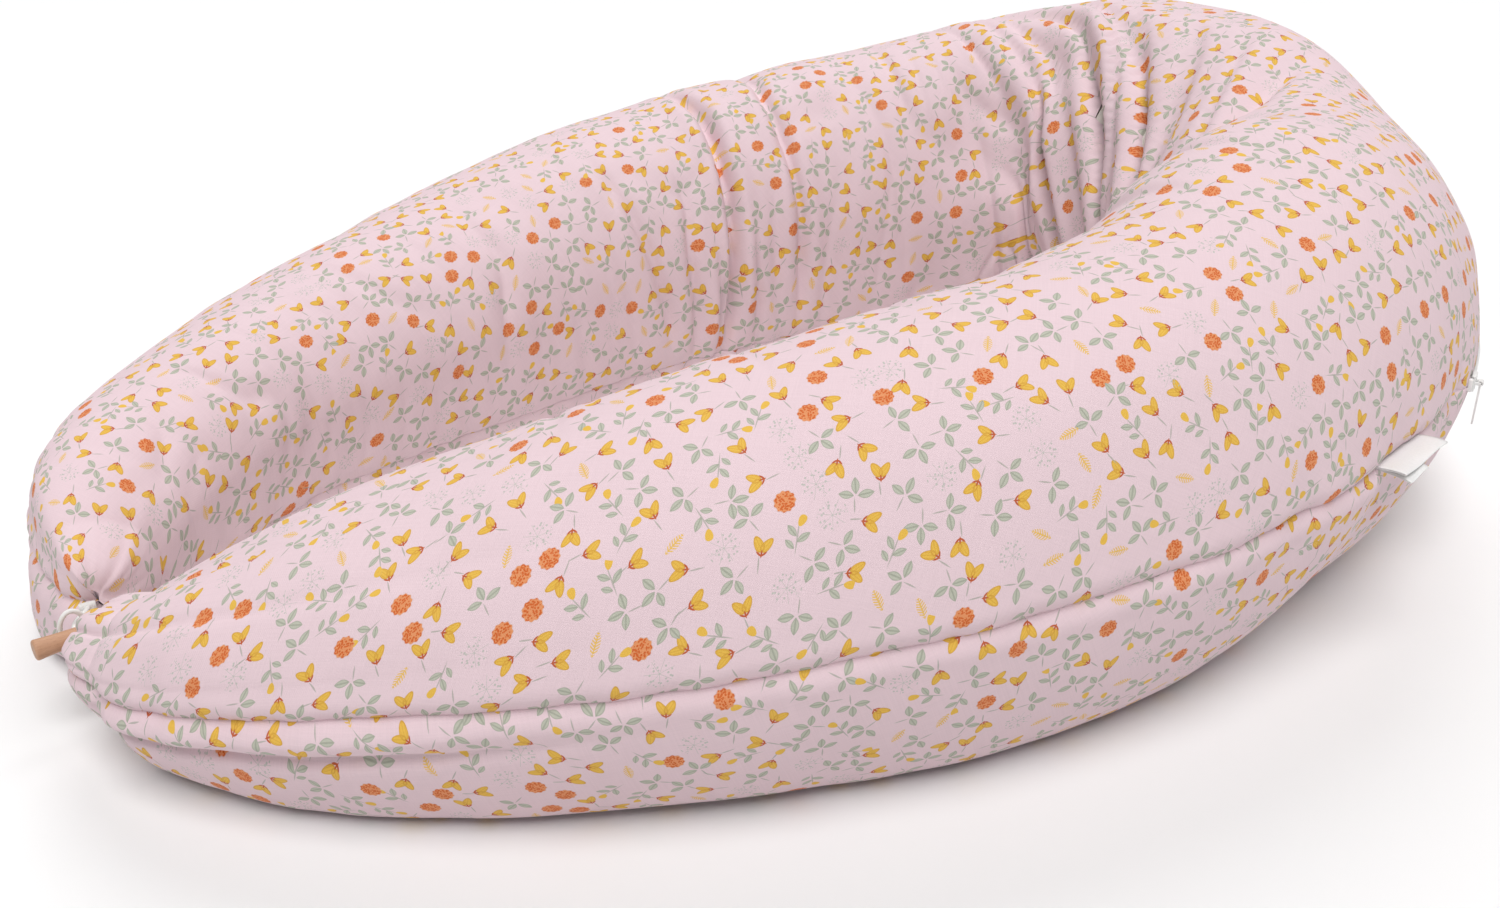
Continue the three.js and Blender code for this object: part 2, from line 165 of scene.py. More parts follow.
def smooth_line(points, step):
    """Points a given step apart along a smooth curve through a list of points."""
    points = np.asarray(points, float)
    padded = np.vstack([2 * points[0] - points[1], points, 2 * points[-1] - points[-2]])
    t = np.linspace(0, 1, 24, endpoint=False)[:, None]
    out = []
    for a, b, c, d in zip(padded, padded[1:], padded[2:], padded[3:]):
        square, cube = 2 * a - 5 * b + 4 * c - d, 3 * b - a - 3 * c + d
        out.append(0.5 * (2 * b + (c - a) * t + square * t ** 2 + cube * t ** 3))
    line = np.vstack(out + [points[-1:]])
    along = running_length(line)
    at = np.linspace(0, along[-1], max(8, int(along[-1] / step)))
    return np.stack([np.interp(at, along, line[:, k]) for k in range(3)], 1), along[-1]


# ---- Cords ----

NECK_ROUTE = [
    (-0.4676, 0.044, 0.05), (-0.4676, 0.0479, 0.05), (-0.4676, 0.052, 0.05), (-0.4674, 0.0555, 0.0501),
    (-0.4662, 0.059, 0.0504), (-0.4635, 0.062, 0.051), (-0.4602, 0.0645, 0.0515), (-0.4575, 0.067, 0.0519),
    (-0.4556, 0.07, 0.052),
]
LOOP_ROUTE = [
    (-0.4604, 0.0362, 0.049), (-0.4605, 0.0367, 0.0445), (-0.4611, 0.0417, 0.0395), (-0.4616, 0.0487, 0.039),
    (-0.4613, 0.0542, 0.0415), (-0.461, 0.0567, 0.047), (-0.4616, 0.0567, 0.054), (-0.4641, 0.0567, 0.0586),
    (-0.4676, 0.0567, 0.0602), (-0.4711, 0.0567, 0.0586), (-0.4736, 0.0567, 0.054), (-0.4742, 0.0567, 0.047),
    (-0.4739, 0.0542, 0.0415), (-0.4736, 0.0487, 0.039), (-0.4716, 0.0422, 0.039), (-0.466, 0.0353, 0.0435),
    (-0.465, 0.0338, 0.049),
]
CORD_STEP, PLAIT_LENGTH = 0.00035, 0.0042
STRAND_HEIGHT, STRAND_SINK = 0.00013, 0.00009


def braided_cord(name, route, node):
    """A plaited cotton cord: raised strands cross its surface both ways."""
    line, length = smooth_line(route, CORD_STEP)

    def strands(i, angles):
        along = i * CORD_STEP / PLAIT_LENGTH * TAU
        one = np.abs(np.sin(2 * angles + along))
        two = np.abs(np.sin(2 * angles - along))
        return STRAND_HEIGHT * np.maximum(one, two) - STRAND_SINK

    piece = tube(name, line, CORD_DIAMETER / 2, sides=20, texture=strands)
    declare(piece, "pillow", "cord_cotton", node)
    path = [tuple(p) for p in line[::6]] + [tuple(line[-1])]
    return piece


toggle_cord = braided_cord("toggle_cord_braid", NECK_ROUTE, "toggle_cord")
closure_loop = braided_cord("closure_loop_braid", LOOP_ROUTE, "closure_loop")


# ---- Coherent noise ----

def lattice_value(ix, iy, iz, seed):
    """The same number from -1 to 1 for the same corner of the lattice, whatever the machine."""
    h = ix * 374761393 + iy * 668265263 + iz * 1274126177 + seed * 974634211
    h = (h ^ (h >> 13)) * 1103515245 & 0xFFFFFFFF
    h = (h ^ (h >> 15)) * 668265263 & 0xFFFFFFFF
    return ((h ^ (h >> 16)) & 0xFFFF) / 32767.5 - 1


def noise(x, y=0.0, z=0.0, seed=0):
    """Smooth noise from -1 to 1, with a feature size of 1."""
    x, y, z = np.broadcast_arrays(np.asarray(x, float), y, z)
    cells, parts = [], []
    for v in (x, y, z):
        low = np.floor(v)
        part = v - low
        cells.append(low.astype(np.int64))
        parts.append(part ** 3 * (part * (part * 6 - 15) + 10))
    total = np.zeros(x.shape)
    for corner in range(8):
        bits = [(corner >> k) & 1 for k in range(3)]
        weight = np.ones(x.shape)
        for part, bit in zip(parts, bits):
            weight = weight * (part if bit else 1 - part)
        total += weight * lattice_value(*(c + b for c, b in zip(cells, bits)), seed)
    return total


def smoothstep(low, high, v):
    t = np.clip((v - low) / (high - low), 0, 1)
    return t * t * (3 - 2 * t)


# ---- The ring's centreline ----

ARM_STEPS, CROWN_STEPS, NOSE_STEPS = 500, 300, 60
# a station's columns after its place (0, 1) and the way out (2, 3)
HALF, RISE, SEAM, SLIM, SHARE = range(4, 9)


def arm_line(arm, side):
    """Places, tangents and shares of the way along an arm's cubic curve, from the crown to the tip."""
    turn = side * arm["sweep"]
    join = CROWN + CROWN_RADIUS * np.array([math.cos(turn), math.sin(turn)])
    leaving = np.array([-math.sin(arm["sweep"]), side * math.cos(arm["sweep"])])
    tip = np.array(arm["tip"])
    heading = np.array([math.cos(arm["heading"]), math.sin(arm["heading"])])
    a, b, c, d = join, join + leaving * arm["leave"], tip - heading * arm["arrive"], tip
    t = np.linspace(0, 1, ARM_STEPS)[:, None]
    place = a * (1 - t) ** 3 + 3 * b * t * (1 - t) ** 2 + 3 * c * t * t * (1 - t) + d * t ** 3
    tangent = 3 * ((b - a) * (1 - t) ** 2 + 2 * (c - b) * t * (1 - t) + (d - c) * t * t)
    tangent /= np.linalg.norm(tangent, axis=1)[:, None]
    length = running_length(place)
    return place, tangent, length / length[-1]


def ring_stations():
    """Every station from the front tip, round the crown, to the back tip."""
    rows = []

    def put(place, travel, half, share, slim=1.0):
        rise = ARM_RISE + (CROWN_RISE - ARM_RISE) * (1 - share) ** 2
        seam = SEAM_HEIGHT - TIP_SEAM_DROP * share ** 2
        rows.append([*place, travel[1], -travel[0], half, rise, seam, slim, share])

    def arm_half(arm, share):
        return TIP_HALF + (FULL_HALF - TIP_HALF) * (1 - share ** arm["start"]) ** arm["end"]

    nose_turns = np.linspace(0, math.pi / 2, NOSE_STEPS)[1:]
    for arm, side in ((FRONT_ARM, -1), (BACK_ARM, 1)):
        place, tangent, share = arm_line(arm, side)
        ahead = tangent[-1]
        nose = [
            (place[-1] + ahead * NOSE_LENGTH * math.sin(t), ahead * side, TIP_HALF, 1.0, math.cos(t))
            for t in nose_turns
        ]
        body = [(place[i], tangent[i] * side, arm_half(arm, share[i]), share[i]) for i in range(1, ARM_STEPS)]
        if side < 0:
            for entry in nose[::-1] + body[::-1]:
                put(*entry)
            for angle in np.linspace(-FRONT_ARM["sweep"], BACK_ARM["sweep"], CROWN_STEPS):
                toward = np.array([math.cos(angle), math.sin(angle)])
                put(CROWN + CROWN_RADIUS * toward, (-toward[1], toward[0]), FULL_HALF, 0.0)
        else:
            for entry in body + nose:
                put(*entry)
    return np.array(rows)


STATIONS = ring_stations()
OUTER_SAY = 0.6  # how much the outer edge says in spreading the stations
FRONT_ROUNDING, BACK_ROUNDING = 0.048, 0.12
FLOOR_SOFTNESS = 0.007
FOOT_FULLNESS = 0.45  # the slack inner side sags out over the floor
FLOOR_GAP = 0.0002


def edge_length(rows):
    return running_length(rows[:, 0:2] + rows[:, 2:4] * (rows[:, HALF] * rows[:, SLIM])[:, None])


def round_off_tip(rows, from_end, length):
    """Fills the last stretch out to a plain round end. From_end is each station's distance from the tip."""
    near = from_end < length
    full = rows[near, HALF].max()
    rounded = full * np.sqrt(1 - (1 - from_end[near] / length) ** 2) / np.maximum(rows[near, SLIM], 1e-3)
    rows[near, HALF] = np.maximum(rows[near, HALF], rounded)


def resample(count):
    """Stations evenly spread by a measure between the outer edge's length and the centreline's."""
    measure = OUTER_SAY * edge_length(STATIONS) + (1 - OUTER_SAY) * running_length(STATIONS[:, 0:2])
    at = np.linspace(0, measure[-1], count)
    rows = np.stack([np.interp(at, measure, STATIONS[:, k]) for k in range(STATIONS.shape[1])], 1)
    rows[:, 2:4] /= np.linalg.norm(rows[:, 2:4], axis=1)[:, None]
    round_off_tip(rows, at, FRONT_ROUNDING)
    round_off_tip(rows, at[-1] - at, BACK_ROUNDING)
    rows[0, SLIM] = rows[-1, SLIM] = 0
    return rows


def skin(rows, turns):
    """Points of the tube's skin, one row of turns for each station."""
    turns = np.broadcast_to(turns, (len(rows), len(turns)))
    half, rise, seam, slim = (rows[:, k][:, None] for k in (HALF, RISE, SEAM, SLIM))
    cosine = np.cos(turns)
    fuller = np.sign(cosine) * np.abs(cosine) ** FOOT_FULLNESS
    cosine = np.where((cosine < 0) & (np.sin(turns) < 0), fuller, cosine)
    across = half * slim * cosine
    share = np.where(np.sin(turns) < 0, DROP_SHARE, rise)
    height = seam + half * share * slim * np.sin(turns)
    height = 0.5 * (height + np.sqrt(height ** 2 + FLOOR_SOFTNESS ** 2 * slim))
    xy = rows[:, None, 0:2] + rows[:, None, 2:4] * across[..., None]
    return np.concatenate([xy, height[..., None]], -1)


def outward(points, side):
    """The surface's unit normals, away from the filling."""
    along = np.gradient(points, axis=0)
    across = np.gradient(points, axis=1)
    normal = np.cross(along, across) * side
    size = np.linalg.norm(normal, axis=-1, keepdims=True)
    return normal / np.maximum(size, 1e-12)


# ---- Folds, puckers and creases of the cover ----

RING_ROWS = 860
UPPER_COLUMNS, LOWER_COLUMNS = 112, 82
rows = resample(RING_ROWS)
outer_run = edge_length(rows)[:, None]
total_run = outer_run[-1, 0]
centre_run = running_length(rows[:, 0:2])[:, None]
crown_angle = np.arctan2(rows[:, 1] - CROWN[1], rows[:, 0] - CROWN[0])[:, None]
NEAR_CROWN = 0.02  # this share of an arm still runs on the crown's circle


def along_zip(out, into):
    """1 along the zip and 0 past it. It changes between ``into`` and ``out`` radians beyond either end."""
    begun = smoothstep(ZIP_START - out, ZIP_START - into, crown_angle)
    ended = smoothstep(ZIP_END + into, ZIP_END + out, crown_angle)
    return np.where(rows[:, SHARE][:, None] < NEAR_CROWN, begun * (1 - ended), 0.0)


zip_zone = along_zip(0.055, 0.022)  # where the borders stay smooth and on the zip's circle
zip_open = along_zip(0.020, 0.002)  # where they stand apart
from_front = outer_run
from_back = total_run - outer_run
BEND_WINDOW = 41


def curvature():
    """How sharply the ring bends at every row, smoothed."""
    heading = np.unwrap(np.arctan2(rows[:, 3], rows[:, 2]))
    bend = np.gradient(heading) / np.maximum(np.gradient(centre_run[:, 0]), 1e-5)
    kernel = np.hanning(BEND_WINDOW)
    padded = np.pad(bend, BEND_WINDOW // 2, mode="edge")
    return np.convolve(padded, kernel / kernel.sum(), mode="valid")[:, None]


bend = np.clip(curvature(), 0, 8)


def creases(coordinate, along, spacing, length, sharp, seed):
    """0 to 1 along thin branching lines that run across the tube: where slow noise changes sign."""
    value = noise(coordinate / spacing, along / length, seed * 1.7, seed)
    value = value + 0.35 * noise(coordinate / spacing * 2.1, along / length * 1.6, 0.5, seed + 9)
    return np.exp(-(value / sharp) ** 2)


CROWN_LEAN = 0.18  # the crown's creases run aslant to its inner corner, in metres a radian
SHARP_BEND = 3.6  # radians a metre that squeeze the inner side fully
LEAN_ABOUT = 2.4  # creases and folds lean about this turn of the tube

# Folds on the ring's inner side: run, lean, from turn, to turn, depth, width
FOLDS = [
    (0.8, -0.12, 1.45, 3.2, 0.015, 0.022),
    (0.975, -0.22, 1.55, 3.6, 0.0085, 0.015),
    (1.015, -0.2, 2.2, 3.6, 0.003, 0.01),
    (1.055, -0.178, 1.35, 3.6, 0.01, 0.013),
    (1.1, -0.18, 2.1, 3.6, 0.003, 0.01),
    (1.16, -0.15, 2, 3.6, 0.006, 0.01),
    (1.25, -0.05, 2.4, 3.7, 0.003, 0.007),
    (1.34, -0.02, 1.8, 3.3, 0.002, 0.007),
    (1.425, 0.004, 1.25, 3.5, 0.009, 0.006),
    (1.473, 0, 2.9, 3.75, 0.005, 0.004),
    (1.49, 0.01, 1.3, 3.75, 0.015, 0.006),
    (1.511, 0, 2.8, 3.75, 0.007, 0.004),
    (1.533, 0, 2.3, 3.75, 0.006, 0.005),
    (1.58, -0.02, 2, 3.6, 0.006, 0.006),
    (1.7, 0.01, 1.9, 3.2, 0.004, 0.009),
]
ZIP_GAPE, ZIP_OVERLAY = 0.0034, 0.0006


def cover_shape(side, columns):
    """The folded skin of the upper (side 1) or lower panel, the distances across it and its flat pattern."""
    span = math.pi + INNER_ROLL * side
    t = np.linspace(0, 1, columns)
    turns = side * span * (t - 0.42 * np.sin(TAU * t) / TAU)
    base = skin(rows, turns)
    normal = outward(base, side)
    step = np.linalg.norm(np.diff(base, axis=1), axis=2)
    across = np.pad(np.cumsum(step, 1), ((0, 0), (1, 0)))
    back_across = across[:, -1:] - across
    x, y, z = base[..., 0], base[..., 1], base[..., 2]
    turn = np.broadcast_to(np.abs(turns), across.shape)
    near_tip = np.exp(-from_front / 0.16) + np.exp(-from_back / 0.16)
    calm = 1 - zip_zone * np.exp(-((across / 0.030) ** 2))

    # broad lumps of the filling
    push = 0.0042 * noise(x / 0.13, y / 0.13, z / 0.13, 3)
    push += 0.0016 * noise(x / 0.052, y / 0.052, z / 0.052, 5)

    # puckers square to the outer seam
    fine = noise(outer_run / 0.0075, side * 3.0, 0, 11) * np.exp(-across / 0.016)
    wide = noise(outer_run / 0.021, across / 0.09, side * 2.0, 12) * np.exp(-across / 0.050)
    push += (0.0007 + 0.0006 * near_tip) * fine + (0.0019 + 0.0012 * near_tip) * wide

    # the inner side is squeezed where the ring bends: deep creases run down over it
    from_tips = np.minimum(centre_run, centre_run[-1] - centre_run)
    squeeze = np.clip(bend / SHARP_BEND, 0.15, 1.3) * smoothstep(0.02, 0.28, from_tips)
    inner_face = smoothstep(1.15, 2.3, turn) if side > 0 else smoothstep(1.2, 2.2, turn)
    crown_part = smoothstep(0.74, 0.90, centre_run) * (1 - smoothstep(1.15, 1.32, centre_run))
    lean = centre_run + 0.018 * np.sin(turn * 1.3 + centre_run * 9)
    lean = lean + CROWN_LEAN * crown_part * (turn - LEAN_ABOUT)
    deep = creases(lean, turn, 0.052, 1.6, 0.20, 21)
    slight = creases(lean, turn, 0.027, 1.1, 0.30, 27)
    push -= squeeze * inner_face * (0.0062 * deep + 0.0019 * slight)
    push += squeeze * inner_face * 0.0030 * noise(lean / 0.045, turn / 1.4, 0, 23)
    inner_pucker = noise(centre_run / 0.011, 0, 0, 31) * np.exp(-back_across / 0.030)
    push += 0.0022 * inner_pucker * squeeze

    # deep folds where the ring is bent most, each a wide valley with a sharp bottom between two shoulders
    for run, lean_by, low, high, depth, width in FOLDS if side > 0 else ():
        middle = run + lean_by * (turn - LEAN_ABOUT) + 0.004 * noise(turn / 0.5, run * 40, 0, 51)
        off = (centre_run - middle) / width
        window = smoothstep(low - 0.3, low + 0.7, turn) * (1 - smoothstep(high - 0.4, high + 0.3, turn))
        shoulders = np.exp(-(((off - 2.1) / 1.5) ** 2)) + np.exp(-(((off + 2.1) / 1.5) ** 2))
        valley = 0.62 * np.exp(-(off ** 2))
        bottom = 0.38 * np.exp(-((off / 0.36) ** 2))
        push += depth * window * (0.26 * shoulders - valley - bottom)

    # gathers that fan out of the tips
    fan = noise(turn * 5.2, outer_run / 0.4, side * 1.5, 41)
    push += 0.0018 * near_tip * fan * smoothstep(0, 0.02, from_front) * smoothstep(0, 0.02, from_back)

    # long tension lines run from the front tip over the upper panel
    if side > 0:
        line = noise(turn * 3.4 + 0.4, centre_run / 0.7, 0.7, 43)
        taut = np.exp(-from_front / 0.22) * smoothstep(0.15, 0.4, turn) * (1 - smoothstep(2.0, 2.6, turn))
        taut = taut * smoothstep(0, 0.03, from_front)
        push += taut * (0.0016 * line - 0.0034 * np.exp(-((line / 0.16) ** 2)))

    # a slack roll under the front arm's outer seam
    if side < 0:
        window = smoothstep(0.02, 0.09, from_front) * (1 - smoothstep(0.20, 0.36, from_front))
        crease = 0.007 + 0.017 * np.sin(np.clip((from_front - 0.02) / 0.42, 0, 1) * math.pi) ** 0.8
        away = (across - crease) / 0.0036
        roll = 0.0034 * np.exp(-(((across - crease * 0.45) / 0.0075) ** 2))
        push += window * (roll - 0.0056 * np.exp(-(away ** 2)))

    # the seams draw the cover in
    push -= (1 - zip_zone) * 0.0036 * np.exp(-((across / 0.0036) ** 1.5))
    push += (1 - zip_zone) * 0.0007 * np.exp(-(((across - 0.010) / 0.005) ** 2))
    push -= 0.0026 * np.exp(-((back_across / 0.006) ** 1.5))
    push *= calm
    push *= np.clip(rows[:, SLIM][:, None] * 3, 0, 1)
    points = base + normal * push[..., None]

    # the zip's opening: both borders stand off the seam line and lie over the tapes
    points[..., 2] += side * ZIP_GAPE * zip_open * np.exp(-across / 0.020)
    over_tape = ZIP_OVERLAY * zip_open * np.exp(-across / 0.010)
    points[..., 0:2] += rows[:, None, 2:4] * over_tape[..., None]
    points = settle(points, turns)
    points[..., 2] = np.maximum(points[..., 2], FLOOR_GAP)
    return points, across, flat_pattern(base, across)


# Where the filling has settled: run, its reach, turn, its reach, outwards, upwards
SETTLED = [
    (1.08, 0.14, 1.6, 1, 0, 0.022),
    (0.96, 0.06, 1.4, 0.8, 0, 0.008),
    (0.86, 0.05, 1, 0.7, -0.004, -0.006),
    (0.7, 0.08, 2, 0.6, -0.01, 0.006),
    (0.63, 0.08, -0.9, 0.7, -0.014, 0),
    (0.77, 0.05, -0.6, 0.7, -0.011, 0),
    (2.06, 0.08, 0.25, 0.9, -0.027, 0),
    (1.83, 0.11, 1.1, 0.9, -0.01, -0.008),
    (1.415, 0.022, 1.6, 0.8, 0, -0.005),
    (0.16, 0.12, -0.9, 0.8, -0.006, 0.004),
    (0.29, 0.16, 1.95, 0.75, -0.005, 0.009),
]
HIGHEST = 0.2735
BORDER = 0.5  # the zip holds the cloth this many radians either side of it
TOGGLE_ROOM, TOGGLE_REACH = 0.0075, 0.026


def settle(points, turns):
    """Broad moves of the filled shape, held still beside the zip."""
    for run, run_reach, turn, turn_reach, out, rise in SETTLED:
        weight = np.exp(-(((centre_run - run) / run_reach) ** 2) - ((turns - turn) / turn_reach) ** 2)
        weight = weight * (1 - zip_zone * np.exp(-((turns / BORDER) ** 2)))
        points[..., 0:2] += rows[:, None, 2:4] * (out * weight)[..., None]
        points[..., 2] += rise * weight
    points[..., 2] = np.minimum(points[..., 2], HIGHEST)
    return dented_by_toggle(points)


def dented_by_toggle(points):
    """The toggle presses into the tips: cloth that would reach into it lies against it."""
    off = points - np.array(TOGGLE_PLACE)
    distance = np.hypot(off[..., 1], off[..., 2])
    beside = np.abs(off[..., 0]) < TOGGLE_REACH
    push = np.where(beside, np.maximum(TOGGLE_ROOM - distance, 0), 0) / np.maximum(distance, TINY)
    points[..., 1:] += off[..., 1:] * push[..., None]
    return points


MOST_TURN = 0.02  # radians that the flat pattern may turn from row to row


def flat_pattern(points, across):
    """Coordinates on the flat cloth, in metres, so that the print keeps its scale."""
    middle = points.shape[1] // 2
    steps = np.linalg.norm(np.diff(points[:, middle], axis=0), axis=1)
    outer = np.linalg.norm(np.diff(points[:, 0], axis=0), axis=1)
    width = np.maximum(across[:, middle], 0.03)
    turning = np.clip((outer - steps) / width[1:], -MOST_TURN, MOST_TURN)
    heading = np.concatenate([[0], np.cumsum(turning)])
    x = np.concatenate([[0], np.cumsum(steps * np.cos(heading[1:]))])
    y = np.concatenate([[0], np.cumsum(steps * np.sin(heading[1:]))])
    offset = across - across[:, middle:middle + 1]
    u = x[:, None] - np.sin(heading)[:, None] * offset
    v = y[:, None] + np.cos(heading)[:, None] * offset
    return np.stack([u, v], -1)


TURNED_IN, HEM_GAP = 0.004, 0.0002
SEAM_REACH = 0.012


def sewn_together(upper, lower):
    """Both panels' borders moved onto the line midway between them, but for the outer ones along the zip."""
    for column in (0, -1):
        middle = (upper[0][:, column] + lower[0][:, column]) / 2
        for points, across, _ in (upper, lower):
            distance = across if column == 0 else across[:, -1:] - across
            weight = np.exp(-distance / SEAM_REACH)[..., None] * (1 - zip_open[..., None] * (column == 0))
            points += (middle - points[:, column])[:, None] * weight
    return upper, lower


def hems(points, side):
    """The cloth folded in along the outer and the inner border."""
    border = points[:, :1]
    inward = rows[:, None, (0, 1, SEAM)] - border
    inward[..., 2] = 0
    size = np.linalg.norm(inward, axis=-1, keepdims=True)
    outer = border + inward / np.maximum(size, TINY) * np.minimum(TURNED_IN, size * 0.9)
    outer[..., 2] += side * HEM_GAP
    inner = points[:, -1:] + (points[:, -2:-1] - points[:, -1:]) * 0.2
    inner[..., 2] += 0.003
    inner[..., 0:2] += rows[:, None, 2:4] * 0.002
    inner[..., 2] = np.maximum(inner[..., 2], FLOOR_GAP)
    return outer, inner


def add_cover(name, side, shape, node):
    points, _, uv = shape
    outer, inner = hems(points, side)
    points = np.concatenate([outer, points, inner], 1)
    uv = np.concatenate([uv[:, :1] - (0, TURNED_IN), uv, uv[:, -1:] + (0, TURNED_IN)], 1)
    points[0] = points[0].mean(0)
    points[-1] = points[-1].mean(0)
    # each end is one point: an end row keeps its first point only, and the others take its number
    count, last = points.shape[1], (len(rows) - 1) * points.shape[1]
    order = np.arange(len(rows) * count)
    kept = (order == 0) | (order >= count) & (order <= last)
    number = np.cumsum(kept) - 1
    faces = []
    for face in number[np.array(grid_faces(len(rows), count, flip=side < 0))].tolist():
        face = [k for i, k in enumerate(face) if k != face[i - 1]]
        if len(face) > 2:
            faces.append(face)
    piece = new_mesh(name, points.reshape(-1, 3)[kept], faces, closed=False)
    layer = piece.data.uv_layers.new(name="print")
    corner = np.empty(len(piece.data.loops), np.int32)
    piece.data.loops.foreach_get("vertex_index", corner)
    layer.data.foreach_set("uv", uv.reshape(-1, 2)[kept][corner].astype(np.float32).ravel())
    declare(piece, "pillow", "printed_cotton", node)
    return piece


upper_shape, lower_shape = sewn_together(cover_shape(1, UPPER_COLUMNS), cover_shape(-1, LOWER_COLUMNS))
cover_upper = add_cover("cover_upper", 1, upper_shape, "cover_upper_panel")
cover_lower = add_cover("cover_lower", -1, lower_shape, "cover_lower_panel")


# ---- Inner cushion ----

CUSHION_INSET, CUSHION_LOWEST = 0.010, 0.003


def add_inner_cushion():
    """The cushion fills the cover a little under its skin, and follows its broad shape."""
    layers = []
    for side, (points, _, _) in ((1, upper_shape), (-1, lower_shape)):
        coarse = points[6:-6:4, ::6]
        coarse = coarse - outward(coarse, side) * CUSHION_INSET
        layers.append(coarse[:, 1:-1] if side > 0 else coarse[:, -2:0:-1])
    points = np.concatenate(layers, 1)
    points[..., 2] = np.maximum(points[..., 2], CUSHION_LOWEST)
    piece = new_mesh("inner_cushion", points.reshape(-1, 3), closed_tube_faces(*points.shape[:2]))
    declare(piece, "pillow", "case_cotton", "inner_case_upper", "inner_case_lower", "fibre_fill")
    return piece


inner_cushion = add_inner_cushion()


# ---- Shader arithmetic ----

class Value:
    """A node socket that can be calculated with."""

    def __init__(self, socket):
        self.socket = socket

    def __add__(self, other):
        return calc("ADD", self, other)

    def __sub__(self, other):
        return calc("SUBTRACT", self, other)

    def __mul__(self, other):
        return calc("MULTIPLY", self, other)

    def __truediv__(self, other):
        return calc("DIVIDE", self, other)


def add_node(kind, *values):
    """A node in the tree that the first of the values belongs to."""
    tree = next(v for v in values if isinstance(v, Value)).socket.id_data
    return tree.nodes.new("ShaderNode" + kind)


def feed(socket, value):
    if isinstance(value, Value):
        socket.id_data.links.new(value.socket, socket)
    else:
        socket.default_value = value


def calc(operation, *values, clamp=False):
    node = add_node("Math", *values)
    node.operation = operation
    node.use_clamp = clamp
    for socket, value in zip(node.inputs, values):
        feed(socket, value)
    return Value(node.outputs[0])


def vector_calc(operation, *values, scalar=False, scale=None):
    node = add_node("VectorMath", *values)
    node.operation = operation
    for socket, value in zip(node.inputs, values):
        feed(socket, value)
    if scale is not None:
        feed(node.inputs["Scale"], scale)
    return Value(node.outputs["Value" if scalar else "Vector"])


def split(vector):
    node = add_node("SeparateXYZ", vector)
    feed(node.inputs[0], vector)
    return [Value(socket) for socket in node.outputs]


def mix_colour(factor, a, b, blend="MIX"):
    node = add_node("Mix", factor, a, b)
    node.data_type = "RGBA"
    node.blend_type = blend
    for k, value in ((0, factor), (6, a), (7, b)):
        feed(node.inputs[k], value)
    return Value(node.outputs[2])


def noise_node(vector, scale, detail=2.0, roughness=0.5):
    node = add_node("TexNoise", vector)
    for name, value in (("Vector", vector), ("Scale", scale), ("Detail", detail), ("Roughness", roughness)):
        feed(node.inputs[name], value)
    return Value(node.outputs["Fac"])


def cell_distance(vector, scale):
    node = add_node("TexVoronoi", vector)
    feed(node.inputs["Vector"], vector)
    feed(node.inputs["Scale"], scale)
    return Value(node.outputs["Distance"])


def object_place(tree):
    return Value(tree.nodes.new("ShaderNodeTexCoord").outputs["Object"])


def srgb(red, green, blue):
    def linear(v):
        v /= 255
        return v / 12.92 if v <= 0.04045 else ((v + 0.055) / 1.055) ** 2.4
    return (linear(red), linear(green), linear(blue), 1.0)


PRINT_PITCH, MOTIF_SIZE = 21.5, 0.80
PINK = srgb(225, 201, 207)
PETAL, PETAL_DARK = srgb(226, 182, 78), srgb(196, 140, 48)
LEAF, LEAF_DARK = srgb(186, 187, 172), srgb(150, 153, 138)
CALYX = srgb(186, 92, 58)
ORANGE, ORANGE_PALE = srgb(204, 100, 46), srgb(222, 146, 98)
SPRIG = srgb(178, 182, 172)


# ---- The printed motifs, drawn about the origin in millimetres ----

def oriented(p, centre, angle, width, length):
    """Coordinates across and along a motif's axis, -1 to 1 at its edges. Angle 0 points along +Y."""
    cos_a, sin_a = math.cos(angle), math.sin(angle)
    along_axis, across_axis = (-sin_a, cos_a, 0), (cos_a, sin_a, 0)
    result = []
    for axis, size in ((across_axis, width), (along_axis, length)):
        shift = -(centre[0] * axis[0] + centre[1] * axis[1]) * 2 / size
        dot = vector_calc("DOT_PRODUCT", p, axis, scalar=True)
        result.append(calc("MULTIPLY_ADD", dot, 2 / size, shift))
    return result


def egg(p, centre, angle, width, length, taper=0.28):
    a, b = oriented(p, centre, angle, width, length)
    wide = a * calc("MULTIPLY_ADD", b, -taper, 1.0)
    return calc("MULTIPLY_ADD", wide, wide, b * b)


def pointed(p, centre, angle, width, length):
    a, b = oriented(p, centre, angle, width, length)
    side = calc("ABSOLUTE", a)
    return calc("MULTIPLY_ADD", b, b, side), side


def inside(edge, sharp=6.0):
    return calc("MULTIPLY_ADD", edge, -sharp, sharp + 0.5, clamp=True)


def largest(values):
    total = values[0]
    for value in values[1:]:
        total = calc("MAXIMUM", total, value)
    return total


def polar(centre_distance, angle):
    return (-math.sin(angle) * centre_distance, math.cos(angle) * centre_distance)


def between(value, low, high):
    above = calc("GREATER_THAN", value, low)
    below = calc("LESS_THAN", value, high)
    return above * below


